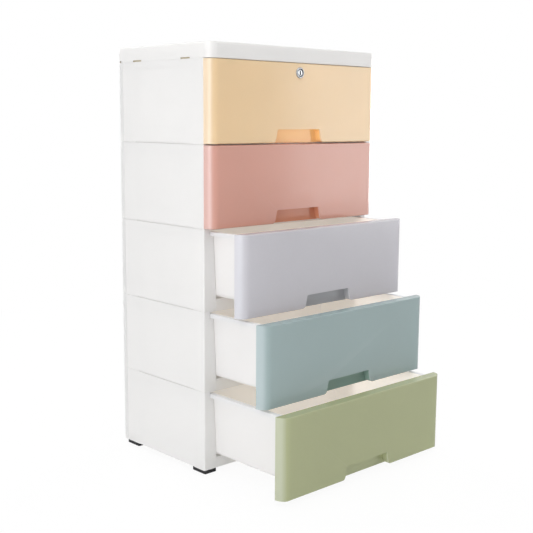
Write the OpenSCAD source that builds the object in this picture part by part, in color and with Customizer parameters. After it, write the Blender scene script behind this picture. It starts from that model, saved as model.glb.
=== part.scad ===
// Free-standing drawer tower: five sliding drawers in a moulded casing, with a cam lock on the top one.
// Millimetres. X runs across the front, the drawers pull out along -Y, Z is up.
// The origin is on the floor, below the middle of the casing.
// The drawers are drawn as far out as "Drawer positions" says.

/* [Casing] */
// Width of the casing
casing_w = 470; // [400:5:560]
// Depth of the casing behind the drawer fronts
casing_d = 275; // [230:5:340]
// Height of one tier
tier_h = 162; // [140:1:195]
// Wall thickness of the casing mouldings
panel_wall = 2.5; // [2:0.1:3]
// Radius of the casing's upright front corners
corner_r = 3; // [1:0.5:6]
// Depth of the front posts behind the casing front
post_d = 16; // [10:1:24]
// Height of the front rails above a tier boundary
rail_h = 22; // [16:1:23]
// Length of the back panels' returns along the sides
wrap_d = 12; // [8:1:20]
// Open seam between one tier's panels and the next
seam = 0.3; // [0.2:0.1:1]
// Open seam between a side panel and the back panel's return
wrap_gap = 1; // [0.4:0.1:2]

/* [Side panel recess] */
// Border in front of the shallow recess
recess_front = 32; // [20:1:60]
// Border behind the recess, from the rear of the casing
recess_rear = 57; // [30:1:80]
// Border below the recess
recess_low = 31; // [15:1:50]
// Border above the recess
recess_high = 10; // [6:1:30]
// Depth of the recess
recess_depth = 1.2; // [0.5:0.1:2]
// Height of the relief along a side panel's lower edge
relief_h = 2.2; // [1:0.1:4]
// Depth of that relief
relief_depth = 1.4; // [0.5:0.1:1.8]

/* [Top cap] */
// Height of the cap
cap_h = 30; // [28:1:45]
// Radius along the cap's top edges
cap_edge_r = 4; // [1:0.5:8]
// Length of the snap slots in the cap's side walls
snap_l = 28; // [15:1:40]
// Height of the snap slots
snap_h = 2.6; // [2:0.1:4]
// First snap slot, from the casing front
snap_y1 = 54; // [30:1:80]
// Second snap slot, from the casing front
snap_y2 = 210; // [150:1:215]
// Length of the snap slots beside the rear corners
corner_snap_l = 5; // [3:0.5:8]
// Inset of those slots from the rear of the casing
corner_snap_inset = 4; // [3:0.5:8]

/* [Drawer front] */
// Depth of the drawer fronts
front_d = 22; // [16:1:30]
// Gap between one drawer front and the next
front_gap = 3; // [2:0.5:5]
// Wall thickness of the drawer fronts
front_wall = 2.5; // [2:0.1:4]
// Radius of the fronts' upright corners
front_r = 21; // [6:1:21]
// Radius along the fronts' top and bottom edges
front_edge_r = 2; // [0.5:0.5:4]
// Width of the hand pocket at its top
pocket_top_w = 121; // [90:1:160]
// Width of the hand pocket at the bottom edge, before the flare
pocket_low_w = 133; // [110:1:190]
// Height of the hand pocket
pocket_h = 27; // [20:1:36]
// Radius of the hand pocket's upper corners
pocket_r = 3.5; // [1:0.5:8]
// Radius of the flare where the pocket opens at the bottom edge
pocket_flare = 9; // [4:0.5:14]
// Gap between the hand pocket and the drawer box behind it
pocket_gap = 0.5; // [0.3:0.1:5]

/* [Drawer box] */
// Wall thickness of the drawer boxes
box_wall = 2.2; // [1.8:0.1:3]
// Inset of the rim from the casing's outer side
rim_inset = 16; // [14:1:24]
// Width of the rim outside the box wall
rim_w = 9; // [7:0.5:14]
// Drop of the rim's outer lip
lip_h = 8; // [5:0.5:12]
// Drop of the rim below the top of the drawer front
rim_drop = 4; // [3:0.5:8]
// Height of the box's floor above the front rails
floor_clear = 4; // [2:0.5:18]
// How far each side wall leans in from rim to floor
side_taper = 7; // [2:0.5:12]
// How far the end walls lean in from rim to floor
end_taper = 3; // [1:0.5:8]
// Radius along the box's lower edges
box_edge_r = 10; // [4:1:16]
// Radius of the rim's corners in plan
rim_r = 12; // [6:1:20]
// Free length behind the closed drawer's rim
rear_room = 8; // [5:1:20]
// Inset of the stop lugs from the rear of the box
lug_inset = 18.7; // [5:0.1:80]

/* [Drawer positions] */
// Share of its travel that the third drawer is drawn open
open_3 = 0.414; // [0:0.001:1]
// Share of its travel that the fourth drawer is drawn open
open_4 = 0.698; // [0:0.001:1]
// Share of its travel that the fifth drawer is drawn open
open_5 = 0.944; // [0:0.001:1]

/* [Feet] */
// Height of the feet
foot_h = 10; // [6:1:20]
// Length of a foot from front to rear
foot_l = 37; // [30:1:50]
// Width of a foot
foot_w = 30; // [24:1:36]
// Inset of the rear feet from the rear of the casing
foot_rear_inset = 12; // [4:1:40]
// Diameter of the peg on a foot
foot_peg_d = 8; // [6:0.5:10]

/* [Lock] */
// Depth of the lock's axis below the top edge of the front
lock_drop = 19; // [17:0.5:22]
// Diameter of the bezel
bezel_d = 22; // [20:0.5:26]
// Diameter of the threaded barrel
barrel_d = 17; // [14:0.5:18]
// Length of the threaded barrel behind its nut
barrel_past = 1.6; // [1:0.1:4]
// Diameter of the turning plug
plug_d = 11; // [9:0.5:12]
// Length of the cam from the lock's axis
cam_l = 23.5; // [22:0.5:25]
// Width of the cam
cam_w = 12; // [10:0.5:14]
// Thickness of the cam
cam_t = 2.5; // [2:0.1:3]

/* [Clearances] */
// Gap between the rim's lip and the ledge that carries it
run_gap = 0.3; // [0.2:0.1:0.6]
// Gap between a drawer box and the mouth it slides through
mouth_gap = 1; // [0.6:0.1:2]
// Gap between a closed drawer front and the casing
face_gap = 0.5; // [0.3:0.1:1]
// Gap round a tab in its slot
tab_gap = 0.3; // [0.2:0.1:0.5]
// Radial gap of the turning plug in its bore
plug_gap = 0.05; // [0.02:0.01:0.1]

/* [Hidden] */
$fn = 48;

// Colours, as the photograph shows them
white = [0.94, 0.94, 0.935];
black = [0.17, 0.17, 0.18];
steel = [0.78, 0.79, 0.80];
front_colours = [
    [0.92, 0.81, 0.67],
    [0.82, 0.65, 0.60],
    [0.74, 0.75, 0.77],
    [0.60, 0.66, 0.65],
    [0.65, 0.66, 0.53]
];

tiers = 5;
arc_steps = 8;      // straight steps in a quarter-round edge
past = 1;           // how far a cut runs past the face it opens

// Casing
half_w = casing_w / 2;
front_y = -casing_d / 2;
rear_y = casing_d / 2;
panel_h = tier_h - seam;
inner_x = half_w - panel_wall;
side_rear_y = rear_y - wrap_d - wrap_gap;
cap_z = foot_h + tiers * tier_h;
tab_l = 20;         // tabs that stand up from the side panels into the frame above
tab_rise = 5;
tab_x = inner_x - 7;
tab_ys = [front_y + 35, side_rear_y - 35 - tab_l];
frame_wall = 2.5;
frame_rise = 12;    // height of the frames' side and rear rails
frame_rail_w = 15;  // width of the frames' front and rear rails
frame_out_x = inner_x - tab_gap;
frame_front_y = front_y + post_d + tab_gap;
back_rib = 2.8;     // depth of the back panels' ribs behind the recess
frame_rear_y = rear_y - panel_wall - recess_depth - back_rib - tab_gap;
tongue_l = 9;       // length of the side panels' tongue inside a back panel
rib_t = 1.8;        // stiffening ribs
runner_lip = 6;     // drop of the stiffening lip under the runner's ledge

// Drawer section, measured from the tier boundary
box_lift = rail_h + floor_clear;
front_low = front_gap / 2;
front_top = tier_h - front_gap / 2;
rim_top = front_top - rim_drop;
lip_low = rim_top - lip_h;
rim_half = half_w - rim_inset;
box_half = rim_half - rim_w;
box_h = rim_top - box_lift;
shell_rear_y = front_y - face_gap;
shell_front_y = front_y - front_d;
front_plan_r = min(front_r, shell_rear_y - shell_front_y - past);

// Drawer box, from front to rear
box_into_front = 3.5;
rim_end_w = 6.5;
box_front_y = shell_rear_y - box_into_front;
rim_front_y = box_front_y - rim_end_w;
rim_rear_y = rear_y - panel_wall - rear_room;
box_rear_y = rim_rear_y - rim_end_w;

// Mouth of a tier: the outline that the drawer box slides through
mouth_low_x = box_half - side_taper + mouth_gap;
mouth_high_x = box_half + mouth_gap;
rail_x = mouth_low_x - tab_gap;
slot_x = rim_half + mouth_gap;
mouth_low_z = box_lift - 2 * mouth_gap;
slot_low_z = lip_low - run_gap;
slot_high_z = panel_h - panel_wall;

// Stop lugs on the drawer boxes, which meet the rear edges of the posts
lug_l = 8;
lug_out = 5;
lug_h = 10;
lug_top = slot_low_z - panel_wall - runner_lip - mouth_gap;
lug_front_y = box_rear_y - lug_inset - lug_l;
travel = lug_front_y - (front_y + post_d + run_gap);

// Clips that hold a drawer front on its box
clip_w = 12;
clip_t = 2.5;
clip_barb = 1.6;
clip_reach = 3;
clip_x = 150;
clip_rise = 24;     // lower clips above the box's floor
clip_drop = 26.5;   // upper clips below the rim's lip
clip_zs = [box_lift + clip_rise, lip_low - clip_drop];

// Lock
lock_z = front_top - lock_drop;
bezel_t = 2;
bezel_edge = 1;     // height of the bezel's straight edge, and depth of its mouth
bezel_lip = 1.5;    // width of its sloping rim
nut_t = 4.5;
nut_wall = 2.5;
nut_af = barrel_d + 2 * nut_wall;
nut_low = lock_z - nut_af / 2 / cos(30);
nut_y = box_wall_y(nut_low) + box_wall + plug_gap - shell_front_y;
barrel_l = nut_y + nut_t + barrel_past;
barrel_gap = 0.25;
cam_hole = 6;
cam_eye = 1.5;      // how much wider the cam is round its hole
screw_d = 3;
screw_l = 4;        // length of the screw in the plug
screw_head_d = 8;
screw_head_t = 2.5;
screw_slot_w = 1.2;
screw_slot_t = 1.2;

function tier_z(k) = foot_h + (tiers - k) * tier_h;
function opening(k) = [0, 0, open_3, open_4, open_5][k - 1] * travel;

// Half width of the box's outside at a height above the tier boundary
function box_x(z) = box_half - side_taper * (rim_top - z) / box_h;
// Outside of the box's front wall at a height above the tier boundary
function box_wall_y(z) = box_front_y + end_taper * (rim_top - z) / box_h;
// Points of an arc about c from angle a0 to angle a1
function arc(c, r, a0, a1) =
    [for (i = [0:arc_steps]) let (a = a0 + (a1 - a0) * i / arc_steps) c + r * [cos(a), sin(a)]];

// ---- helpers ----

// Extrudes an X-Z outline from y0 to y1
module along_y(y0, y1) {
    translate([0, y1, 0]) rotate([90, 0, 0]) linear_extrude(y1 - y0) children();
}

// Extrudes a Y-Z outline from x0 to x1
module along_x(x0, x1) {
    translate([x0, 0, 0]) rotate([90, 0, 90]) linear_extrude(x1 - x0) children();
}

// Box between two corners
module block(low, high) {
    translate(low) cube(high - low);
}

// Child and its mirror image across the middle plane
module both_sides() {
    children();
    mirror([1, 0, 0]) children();
}

// Rectangle with round corners of its own radius at the front and at the rear
module plan(x, y0, y1, r0, r1) {
    polygon(concat(
        arc([x - r1, y1 - r1], r1, 0, 90),
        arc([-x + r1, y1 - r1], r1, 90, 180),
        arc([-x + r0, y0 + r0], r0, 180, 270),
        arc([x - r0, y0 + r0], r0, 270, 360)));
}

// Outline that is wider at the top than at the floor, with round lower corners;
// u0 and u1 are its edges at the top, and each leans in by taper
module tub_outline(u0, u1, z0, z1, taper, r) {
    lean = atan(taper / (z1 - z0));
    shift = r * (1 - sin(lean)) / cos(lean);
    polygon(concat(
        [[u1, z1], [u0, z1]],
        arc([u0 + taper + shift, z0 + r], r, 180 + lean, 270),
        arc([u1 - taper - shift, z0 + r], r, 270, 360 - lean)));
}

// Solid tub of the drawer box, drawn in by the given amount on its walls and floor
module tub(inset) {
    z0 = box_lift + inset;
    z1 = rim_top + (inset > 0 ? past : 0);
    r = box_edge_r - inset;
    x = box_half - inset;
    intersection() {
        along_y(rim_front_y, rim_rear_y) tub_outline(-x, x, z0, z1, side_taper, r);
        along_x(-half_w, half_w)
            tub_outline(box_front_y + inset, box_rear_y - inset, z0, z1, end_taper, r);
        translate([0, 0, z0]) linear_extrude(z1 - z0)
            plan(x, box_front_y + inset, box_rear_y - inset, rim_r - inset, rim_r - inset);
    }
}

// ---- casing ----

// Left edge of a tier's mouth, from the bottom up, moved outward by the given amount
function mouth_edge(out) = [
    [-mouth_low_x - out, 0],
    [-mouth_low_x - out, mouth_low_z],
    [-mouth_high_x - out, slot_low_z - out],
    [-slot_x - out, slot_low_z - out],
    [-slot_x - out, slot_high_z + out],
    [-mouth_low_x - out, slot_high_z + out]
];

// Left front post: a face with the mouth's outline, and the return wall behind that outline
module post() {
    top_edge = [[-mouth_low_x, panel_h], [-half_w, panel_h], [-half_w, 0]];
    intersection() {
        along_y(front_y, front_y + panel_wall) polygon(concat(mouth_edge(0), top_edge));
        linear_extrude(panel_h)
            plan(half_w, front_y, rear_y, corner_r, corner_r);
    }
    along_y(front_y, front_y + post_d)
        polygon(concat(
            mouth_edge(0),
            [[-mouth_low_x, panel_h], [-mouth_low_x - panel_wall, panel_h]],
            [for (i = [4:-1:0]) mouth_edge(panel_wall)[i]]));
}

// Left runner: the channel that the rim's lip slides in
module runner() {
    along_y(front_y + panel_wall, side_rear_y)
        polygon([
            [-inner_x, slot_low_z - panel_wall],
            [-mouth_high_x - panel_wall, slot_low_z - panel_wall],
            [-mouth_high_x - panel_wall, slot_low_z - panel_wall - runner_lip],
            [-mouth_high_x, slot_low_z - panel_wall - runner_lip],
            [-mouth_high_x, slot_low_z],
            [-inner_x, slot_low_z]
        ]);
    block([-inner_x, front_y + panel_wall, slot_high_z],
        [-mouth_low_x, side_rear_y, panel_h]);
}

// Shallow window with sloping edges, sunk below z = 0
module window(u0, u1, v0, v1) {
    slope = 2 * recess_depth;
    hull() {
        block([u0, v0, 0], [u1, v1, past]);
        block([u0 + slope, v0 + slope, -recess_depth], [u1 - slope, v1 - slope, 0]);
    }
}

// Left side panel, from the tier boundary up
module side_panel() {
    y0 = front_y + recess_front;
    y1 = rear_y - recess_rear;
    z1 = panel_h - recess_high;
    rib_x = slot_x - rim_w / 2;
    rib_ys = [for (i = [1:3]) front_y + i * casing_d / 4];
    clear_low = frame_rise + seam;
    difference() {
        union() {
            intersection() {
                block([-half_w, front_y, 0], [-inner_x, side_rear_y, panel_h]);
                linear_extrude(panel_h) plan(half_w, front_y, rear_y, corner_r, corner_r);
            }
            block([-inner_x - past, y0, recess_low], [-inner_x + recess_depth, y1, slot_low_z]);
        }
        translate([-half_w, 0, 0]) rotate([90, 0, -90]) window(-y1, -y0, recess_low, z1);
        // Relief that opens the seam between the stiles
        block([-half_w - past, y0, -past], [-half_w + relief_depth, y1, relief_h]);
    }
    post();
    runner();
    // Stiffening ribs below the runner
    for (y = rib_ys)
        block([-inner_x - past, y - rib_t / 2, clear_low],
            [-rib_x, y + rib_t / 2, slot_low_z - panel_wall]);
    // Tongue that a back panel's return closes over
    block([-inner_x, side_rear_y - tongue_l, clear_low],
        [-inner_x + panel_wall, side_rear_y + tongue_l, panel_h]);
    for (y = tab_ys)
        block([-tab_x, y, slot_high_z], [-tab_x + panel_wall, y + tab_l, panel_h + tab_rise]);
}

// Back panel with its returns along the sides, from the tier boundary up
module back_panel() {
    field_x = half_w - recess_low - wrap_d;
    z0 = recess_low;
    z1 = panel_h - recess_low;
    difference() {
        union() {
            difference() {
                linear_extrude(panel_h) plan(half_w, front_y, rear_y, corner_r, corner_r);
                translate([0, 0, -past]) linear_extrude(tier_h + 2 * past)
                    plan(inner_x, front_y + panel_wall, rear_y - panel_wall, past, past);
                block([-half_w - past, front_y - past, -past],
                    [half_w + past, rear_y - wrap_d, tier_h + past]);
            }
            block([-field_x, rear_y - panel_wall - recess_depth, z0],
                [field_x, rear_y - panel_wall / 2, z1]);
        }
        translate([0, rear_y, 0]) rotate([90, 0, 180]) window(-field_x, field_x, z0, z1);
    }
    // Ribs that bear on the frames' rear rails
    for (x = [-field_x / 2, 0, field_x / 2])
        block([x - rib_t / 2, frame_rear_y + tab_gap, frame_rise + seam],
            [x + rib_t / 2, rear_y - panel_wall / 2, panel_h]);
}

// Front rail of a frame, open at its underside and rear, with the webs that tie it to the
// side rails; low is where its face ends
module front_rail(low) {
    along_x(-rail_x, rail_x)
        polygon([
            [front_y, low],
            [front_y + frame_wall, low],
            [front_y + frame_wall, rail_h - frame_wall],
            [front_y + frame_rail_w, rail_h - frame_wall],
            [front_y + frame_rail_w, rail_h],
            [front_y, rail_h]
        ]);
    both_sides() block([-rail_x, front_y + frame_wall, 0],
        [-rail_x + frame_wall, frame_front_y + frame_rail_w, rail_h]);
}

// Channel section between two edges, open at the top
module channel(u0, u1) {
    polygon([
        [u0, 0],
        [u1, 0],
        [u1, frame_rise],
        [u1 - frame_wall, frame_rise],
        [u1 - frame_wall, frame_wall],
        [u0 + frame_wall, frame_wall],
        [u0 + frame_wall, frame_rise],
        [u0, frame_rise]
    ]);
}

// Side and rear rails of a frame
module channel_rails() {
    both_sides() along_y(frame_front_y, frame_rear_y) channel(-frame_out_x, -rail_x + frame_wall);
    along_x(-frame_out_x, frame_out_x) channel(frame_rear_y - frame_rail_w, frame_rear_y);
}

// Frame at a tier boundary, with slots for the tabs of the side panels below it
module tie_frame() {
    difference() {
        union() {
            front_rail(-front_gap);
            channel_rails();
        }
        both_sides() for (y = tab_ys)
            block([-tab_x - tab_gap, y - tab_gap, -past],
                [-tab_x + panel_wall + tab_gap, y + tab_l + tab_gap, frame_wall + past]);
    }
}

module divider(k) {
    color(white) translate([0, 0, tier_z(k)]) tie_frame();
}

module top_frame() {
    color(white) translate([0, 0, cap_z]) tie_frame();
}

// Middle of each foot's peg
function foot_peg(sx, sy) = [
    sx * (half_w - foot_w / 2),
    sy < 0 ? frame_front_y + foot_peg_d : rear_y - foot_rear_inset - foot_l / 2
];

// Frame below the bottom tier, its channels open downward, with a socket for each foot
module base_frame() {
    socket_h = frame_rise - frame_wall / 2;
    color(white) translate([0, 0, foot_h]) difference() {
        union() {
            front_rail(0);
            translate([0, 0, frame_rise]) mirror([0, 0, 1]) channel_rails();
            for (sx = [-1, 1], sy = [-1, 1])
                translate(foot_peg(sx, sy)) cylinder(d = foot_peg_d + 2 * frame_wall, h = socket_h);
        }
        for (sx = [-1, 1], sy = [-1, 1])
            translate([0, 0, -past]) translate(foot_peg(sx, sy))
                cylinder(d = foot_peg_d + 2 * plug_gap, h = frame_rise - frame_wall + past);
    }
}

module feet() {
    chamfer = 3;
    inset = 1;
    x1 = half_w - inset;
    color(black) for (sy = [-1, 1]) {
        y0 = sy < 0 ? front_y + inset : rear_y - foot_rear_inset - foot_l;
        both_sides() {
            difference() {
                block([-x1, y0, 0], [-x1 + foot_w, y0 + foot_l, foot_h]);
                // Bevel along the outer lower edge
                along_y(y0 - past, y0 + foot_l + past)
                    polygon([
                        [-x1 - past, -past],
                        [-x1 + chamfer + past, -past],
                        [-x1 - past, chamfer + past]
                    ]);
            }
            translate([0, 0, foot_h]) translate(foot_peg(-1, sy))
                cylinder(d = foot_peg_d, h = frame_rise - frame_wall - past);
        }
    }
}

module side_left(k) {
    color(white) translate([0, 0, tier_z(k)]) side_panel();
}

module side_right(k) {
    color(white) translate([0, 0, tier_z(k)]) mirror([1, 0, 0]) side_panel();
}

module back(k) {
    color(white) translate([0, 0, tier_z(k)]) back_panel();
}

// Solid of the cap drawn in by the given amount, with round top edges
module cap_form(inset) {
    x = half_w - inset;
    y0 = shell_front_y + inset;
    y1 = rear_y - inset;
    z1 = cap_h - inset;
    r = max(cap_edge_r - inset, past);
    z0 = inset > 0 ? -past : 0;
    intersection() {
        translate([0, 0, z0]) linear_extrude(z1 - z0)
            plan(x, y0, y1, front_plan_r - inset, corner_r);
        along_y(y0, y1) polygon(concat(
            arc([x - r, z1 - r], r, 0, 90), arc([-x + r, z1 - r], r, 90, 180), [[-x, z0], [x, z0]]));
        along_x(-x, x) polygon(concat(
            arc([y1 - r, z1 - r], r, 0, 90), arc([y0 + r, z1 - r], r, 90, 180), [[y0, z0], [y1, z0]]));
    }
}

module top_cap() {
    rib_low = rail_h + past;
    rib_high = cap_h - panel_wall / 2;
    color(white) translate([0, 0, cap_z]) difference() {
        union() {
            difference() {
                cap_form(0);
                cap_form(panel_wall);
            }
            // Ribs under the top plate
            for (i = [-2:2])
                block([i * casing_w / 6 - rib_t / 2, shell_front_y + past, rib_low],
                    [i * casing_w / 6 + rib_t / 2, rear_y - past, rib_high]);
            for (i = [-1:1])
                block([-half_w + past, i * casing_d / 4 - rib_t / 2, rib_low],
                    [half_w - past, i * casing_d / 4 + rib_t / 2, rib_high]);
        }
        // Snap slots in the side walls, and a short one beside each rear corner
        both_sides() {
            for (y = [snap_y1, snap_y2])
                block([-half_w - past, front_y + y - snap_l / 2, -past],
                    [-inner_x + past, front_y + y + snap_l / 2, snap_h]);
            block([-half_w - past, rear_y - corner_snap_inset - corner_snap_l, -past],
                [-inner_x + past, rear_y - corner_snap_inset, snap_h]);
        }
    }
}

// ---- drawers ----

module drawer_box(k) {
    color(white) translate([0, -opening(k), tier_z(k)]) difference() {
        union() {
            tub(0);
            // Rim with its turned-down lip
            difference() {
                translate([0, 0, lip_low]) linear_extrude(lip_h)
                    plan(rim_half, rim_front_y, rim_rear_y, rim_r, rim_r);
                translate([0, 0, lip_low - past]) linear_extrude(lip_h - box_wall + past)
                    plan(rim_half - box_wall, rim_front_y + box_wall, rim_rear_y - box_wall,
                        rim_r - box_wall, rim_r - box_wall);
            }
            // Lugs that stop the drawer on the posts
            both_sides() block(
                [-box_half - lug_out, lug_front_y, lug_top - lug_h],
                [-box_x(lug_top - lug_h) + box_wall / 2, lug_front_y + lug_l, lug_top]);
        }
        tub(box_wall);
        // Slots for the front's clips
        for (x = [-clip_x, clip_x], z = clip_zs)
            block([x - clip_w / 2 - tab_gap, box_wall_y(z) - past, z - tab_gap],
                [x + clip_w / 2 + tab_gap, box_wall_y(z) + box_wall + past,
                    z + clip_t + clip_barb + tab_gap]);
        // Hole for the lock, through the wall and the rim's front lip
        if (k == 1)
            translate([0, box_front_y + box_wall + end_taper, lock_z]) rotate([90, 0, 0])
                cylinder(d = barrel_d + 2 * barrel_gap, h = front_d);
    }
}

// Solid of a drawer front drawn in by the given amount
module front_form(inset) {
    x = half_w - inset;
    y0 = shell_front_y + inset;
    y1 = shell_rear_y + (inset > 0 ? past : 0);
    z0 = front_low + inset;
    z1 = front_top - inset;
    r = max(front_edge_r - inset, past / 2);
    r_plan = front_plan_r - inset;
    intersection() {
        translate([0, 0, z0]) linear_extrude(z1 - z0)
            polygon(concat(
                [[x, y1], [-x, y1]],
                arc([-x + r_plan, y0 + r_plan], r_plan, 180, 270),
                arc([x - r_plan, y0 + r_plan], r_plan, 270, 360)));
        along_x(-x, x)
            polygon(concat(
                [[y1, z0], [y1, z1]],
                arc([y0 + r, z1 - r], r, 90, 180),
                arc([y0 + r, z0 + r], r, 180, 270)));
    }
}

// Right edge of the hand pocket from the top down, grown by the given amount
function pocket_edge(grow) =
    let (
        spread = (pocket_low_w - pocket_top_w) / 2,
        lean = atan(spread / pocket_h),
        top_z = pocket_h - pocket_r,
        top_x = pocket_top_w / 2 + spread * pocket_r / pocket_h - pocket_r / cos(lean),
        low_x = pocket_low_w / 2 - spread * pocket_flare / pocket_h + pocket_flare / cos(lean)
    ) concat(
        arc([top_x, front_low + top_z], pocket_r + grow, 90, lean),
        arc([low_x, front_low + pocket_flare], pocket_flare - grow, 180 + lean, 270),
        [[low_x, front_low - (grow > 0 ? 0 : past)]]);

// Hand pocket's outline, grown by the given amount
module pocket_outline(grow) {
    right = pocket_edge(grow);
    polygon(concat(right, [for (i = [len(right) - 1:-1:0]) [-right[i][0], right[i][1]]]));
}

module drawer_front(k) {
    pocket_y = box_front_y - pocket_gap - front_wall;
    wall_mid_y = shell_front_y + front_wall / 2;
    color(front_colours[k - 1]) translate([0, -opening(k), tier_z(k)]) {
        difference() {
            union() {
                difference() {
                    front_form(0);
                    front_form(front_wall);
                }
                along_y(wall_mid_y, pocket_y + front_wall)
                    pocket_outline(front_wall);
                // Upright ribs inside the shell, clear of the drawer box's rim
                for (i = [-2:2])
                    block([i * casing_w / 6 - rib_t / 2, wall_mid_y, front_low + front_wall / 2],
                        [i * casing_w / 6 + rib_t / 2, rim_front_y - pocket_gap,
                            front_top - front_wall / 2]);
            }
            along_y(shell_front_y - past, pocket_y) pocket_outline(0);
            // Hole for the lock, through the face and the middle rib
            if (k == 1)
                translate([0, shell_rear_y, lock_z]) rotate([90, 0, 0])
                    cylinder(d = barrel_d + 2 * barrel_gap, h = front_d + past);
        }
        // Clips that pass through the box's front wall
        for (x = [-clip_x, clip_x], z = clip_zs) {
            wall_in = box_wall_y(z) + box_wall + tab_gap;
            along_x(x - clip_w / 2, x + clip_w / 2)
                polygon([
                    [wall_mid_y, z],
                    [wall_in + clip_reach, z],
                    [wall_in + clip_reach, z + clip_t / 2],
                    [wall_in, z + clip_t + clip_barb],
                    [wall_in, z + clip_t],
                    [wall_mid_y, z + clip_t]
                ]);
        }
    }
}

// ---- lock ----

// Turned shapes of the lock, standing on the front's face and pointing into the drawer
module on_lock_axis() {
    translate([0, shell_front_y, tier_z(1) + lock_z]) rotate([-90, 0, 0]) children();
}

module lock_housing() {
    bore_r = plug_d / 2 + plug_gap;
    color(steel) on_lock_axis() rotate_extrude()
        polygon([
            [bore_r, -bezel_t + bezel_edge],
            [bore_r + bezel_lip, -bezel_t],
            [bezel_d / 2 - bezel_lip, -bezel_t],
            [bezel_d / 2, -bezel_edge],
            [bezel_d / 2, 0],
            [barrel_d / 2, 0],
            [barrel_d / 2, barrel_l],
            [bore_r, barrel_l]
        ]);
}

module lock_nut() {
    color(steel) on_lock_axis() translate([0, 0, nut_y]) difference() {
        cylinder(d = nut_af / cos(30), h = nut_t, $fn = 6);
        translate([0, 0, -past])
            cylinder(d = barrel_d + 2 * plug_gap, h = nut_t + 2 * past);
    }
}

module lock_plug() {
    key_w = 2;
    key_h = 7.5;
    key_deep = 12;
    color(steel) on_lock_axis() difference() {
        union() {
            translate([0, 0, -bezel_t + bezel_edge])
                cylinder(d = plug_d, h = barrel_l + bezel_t - bezel_edge);
            translate([-cam_hole / 2, -cam_hole / 2, barrel_l])
                cube([cam_hole, cam_hole, cam_t + run_gap]);
        }
        translate([-key_w / 2, -key_h / 2, -bezel_t]) cube([key_w, key_h, key_deep]);
        translate([0, 0, barrel_l - screw_l - past])
            cylinder(d = screw_d, h = screw_l + cam_t + run_gap + 2 * past);
    }
}

// Cam plate, pointing along +X while the drawer is unlocked
module lock_cam() {
    tip_r = cam_w / 2;
    color(steel) on_lock_axis() translate([0, 0, barrel_l + run_gap]) linear_extrude(cam_t)
        difference() {
            union() {
                circle(r = tip_r + cam_eye);
                translate([cam_l - tip_r, 0]) circle(r = tip_r);
                translate([0, -tip_r]) square([cam_l - tip_r, cam_w]);
            }
            square(cam_hole + 2 * plug_gap, center = true);
        }
}

module lock_cam_screw() {
    color(steel) on_lock_axis() translate([0, 0, barrel_l + run_gap + cam_t]) {
        difference() {
            cylinder(d = screw_head_d, h = screw_head_t);
            // Cross slot for a screwdriver
            for (turn = [0, 90])
                rotate([0, 0, turn])
                    translate([-screw_head_d / 3, -screw_slot_w / 2, screw_head_t - screw_slot_t])
                        cube([screw_head_d * 2 / 3, screw_slot_w, screw_slot_t + past]);
        }
        translate([0, 0, -cam_t - run_gap - screw_l])
            cylinder(d = screw_d, h = screw_l + cam_t + run_gap + past);
    }
}

top_cap();
top_frame();
divider(1);  // divider_1
divider(2);  // divider_2
divider(3);  // divider_3
divider(4);  // divider_4
base_frame();
side_left(1);  // side_left_1
side_left(2);  // side_left_2
side_left(3);  // side_left_3
side_left(4);  // side_left_4
side_left(5);  // side_left_5
side_right(1);  // side_right_1
side_right(2);  // side_right_2
side_right(3);  // side_right_3
side_right(4);  // side_right_4
side_right(5);  // side_right_5
back(1);  // back_1
back(2);  // back_2
back(3);  // back_3
back(4);  // back_4
back(5);  // back_5
feet();
drawer_box(1);  // drawer_box_1
drawer_box(2);  // drawer_box_2
drawer_box(3);  // drawer_box_3
drawer_box(4);  // drawer_box_4
drawer_box(5);  // drawer_box_5
drawer_front(1);  // drawer_front_1
drawer_front(2);  // drawer_front_2
drawer_front(3);  // drawer_front_3
drawer_front(4);  // drawer_front_4
drawer_front(5);  // drawer_front_5
lock_housing();
lock_nut();
lock_plug();
lock_cam();
lock_cam_screw();
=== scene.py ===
# %% [markdown]
# # A tall plastic drawer tower
# The tower is a white moulded casing of five equal tiers on four black feet, with a wide drawer
# in each tier. Every drawer has a white box and a coloured front, and the top one has a small
# cam lock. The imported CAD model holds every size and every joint, so this script adds only what
# CAD leaves out: soft moulded edges, finishes, small turned details, light and a camera.

# %% Load the fixed frame
import math

import bmesh
import bpy
from mathutils import Matrix, Vector


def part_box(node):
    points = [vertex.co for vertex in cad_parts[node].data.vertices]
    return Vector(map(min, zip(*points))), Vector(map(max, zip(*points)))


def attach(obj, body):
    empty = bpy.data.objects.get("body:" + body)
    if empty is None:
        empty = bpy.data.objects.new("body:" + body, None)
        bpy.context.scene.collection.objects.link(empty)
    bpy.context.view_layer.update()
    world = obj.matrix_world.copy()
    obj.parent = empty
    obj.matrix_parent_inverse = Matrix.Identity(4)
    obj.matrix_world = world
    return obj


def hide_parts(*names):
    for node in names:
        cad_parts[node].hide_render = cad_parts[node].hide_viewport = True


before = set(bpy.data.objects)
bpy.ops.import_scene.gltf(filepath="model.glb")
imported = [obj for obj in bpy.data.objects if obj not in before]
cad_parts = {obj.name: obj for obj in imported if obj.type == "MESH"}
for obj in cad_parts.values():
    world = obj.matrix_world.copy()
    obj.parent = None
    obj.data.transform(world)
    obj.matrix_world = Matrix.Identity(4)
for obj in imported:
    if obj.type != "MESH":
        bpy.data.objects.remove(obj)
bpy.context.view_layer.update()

MM = 0.001
TIERS = 5

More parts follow.
